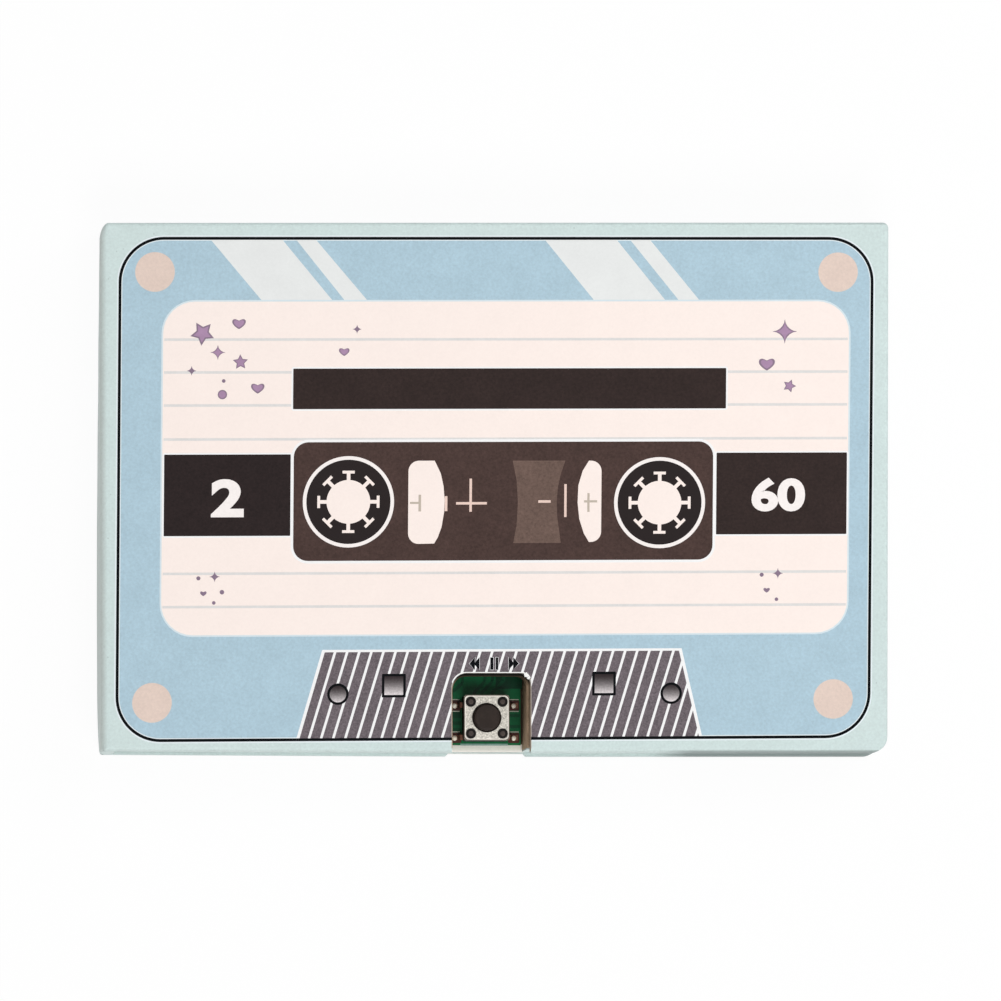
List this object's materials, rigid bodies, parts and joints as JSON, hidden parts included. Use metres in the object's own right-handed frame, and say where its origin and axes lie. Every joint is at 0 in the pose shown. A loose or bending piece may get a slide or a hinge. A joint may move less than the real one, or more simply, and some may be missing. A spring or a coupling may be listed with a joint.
{
  "type": "recordable greeting card",
  "caption": "Small book-style hard card with a hinged printed cover, a notched front edge and a push button in the notch.",
  "frame": {"origin": "middle of the back, on the surface that the closed card lies on", "axes": "+X along the width from the spine, +Y up the front, +Z out of the front cover"},
  "size_m": [0.104, 0.07, 0.012],
  "materials": {
    "printed_paper": "matt coated paper with a flat print",
    "mint_paper": "matt coated paper, plain mint",
    "lining_paper": "uncoated cream paper",
    "page_paper": "thick uncoated cream card",
    "greyboard": "raw grey-brown bookbinding board",
    "solder_mask": "green solder mask over glass-fibre board",
    "foam_tape": "white double-sided foam tape",
    "black_plastic": "moulded black plastic",
    "steel": "thin stamped steel",
    "tin": "bright tin plating",
    "resin": "poured black resin",
    "resistor_body": "glazed black chip",
    "capacitor_body": "tan ceramic chip",
    "can_aluminium": "drawn aluminium can",
    "ferrite": "ground magnet",
    "coil_copper": "enamelled copper winding",
    "cone_film": "thin translucent film",
    "gasket_card": "black card ring",
    "phenolic": "brown paper laminate",
    "pad_foam": "black foam",
    "red_pvc": "red wire insulation",
    "black_pvc": "black wire insulation"
  },
  "bodies": {
    "base": {"back_board": "greyboard", "back_wrap": "mint_paper", "back_liner": "lining_paper", "spine_board": "greyboard", "spine_wrap": "mint_paper", "tray_layer_1": "greyboard", "tray_layer_2": "greyboard", "tray_deck": "greyboard", "tray_wrap": "mint_paper", "inner_page": "page_paper", "pcb": "solder_mask", "pcb_tape": "foam_tape", "chip_blob": "resin", "resistors": "resistor_body", "capacitors": "capacitor_body", "transistor": "black_plastic", "microphone": "can_aluminium", "microphone_pins": "tin", "speaker_basket": "steel", "speaker_yoke": "steel", "speaker_magnet": "ferrite", "speaker_pole_plate": "steel", "speaker_voice_coil": "coil_copper", "speaker_cone": "cone_film", "speaker_gasket": "gasket_card", "speaker_lug_board": "phenolic", "speaker_pad": "pad_foam", "speaker_wire_red": "red_pvc", "speaker_wire_black": "black_pvc", "solder_joints": "tin", "play_switch_base": "black_plastic", "play_switch_plate": "steel", "play_switch_dome": "steel", "play_switch_legs": "tin", "record_switch_base": "black_plastic", "record_switch_plate": "steel", "record_switch_dome": "steel", "record_switch_legs": "tin", "button_cell_1": "steel", "cell_clip_1": "tin", "button_cell_2": "steel", "cell_clip_2": "tin", "button_cell_3": "steel", "cell_clip_3": "tin"},
    "cover": {"cover_board": "greyboard", "cover_wrap": "printed_paper", "cover_liner": "lining_paper"},
    "play_button": {"play_switch_plunger": "black_plastic"},
    "record_button": {"record_switch_plunger": "black_plastic"}
  },
  "joints": [
    {"name": "cover_hinge", "type": "hinge", "parent": "base", "child": "cover", "pos_m": [-0.052, 0, 0.012], "axis": [0, -1, 0], "range_deg": [0, 180]},
    {"name": "play_press", "type": "slide", "parent": "base", "child": "play_button", "axis": [0, 0, -1], "range_m": [0, 0.00025], "stiffness_N_per_m": 6400, "deforming": ["play_switch_dome"]},
    {"name": "record_press", "type": "slide", "parent": "base", "child": "record_button", "axis": [0, 0, -1], "range_m": [0, 0.00025], "stiffness_N_per_m": 6400, "deforming": ["record_switch_dome"]}
  ]
}
